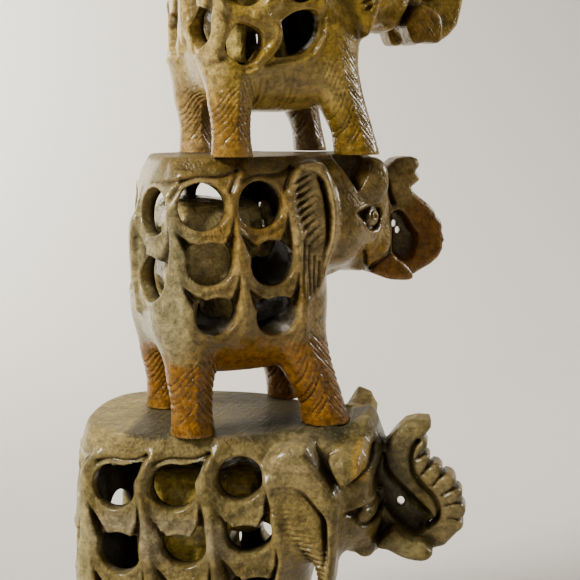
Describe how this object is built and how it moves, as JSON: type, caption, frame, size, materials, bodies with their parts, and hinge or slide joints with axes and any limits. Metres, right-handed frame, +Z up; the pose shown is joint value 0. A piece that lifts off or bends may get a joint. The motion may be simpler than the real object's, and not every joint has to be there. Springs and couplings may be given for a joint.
{
  "type": "stacked elephant sculpture",
  "caption": "Tower of carved soapstone elephants standing on each other's backs, each with a pierced body round a smaller elephant, trunks raised.",
  "frame": {"origin": "middle of the plan's bounding box, on the surface that the lowest soles stand on", "axes": "+Z up, +X the way the lowest elephant faces, +Y to its left"},
  "size_m": [0.1258, 0.0704, 0.2552],
  "materials": {
    "sage_soapstone": "lacquered, veined in sage, cream and grey",
    "umber_soapstone": "lacquered, beige-olive body over orange-brown legs",
    "olive_soapstone": "lacquered, olive to golden brown"
  },
  "bodies": {
    "root": {"lower_elephant": "sage_soapstone", "middle_elephant": "umber_soapstone", "upper_elephant": "olive_soapstone"}
  },
  "joints": []
}
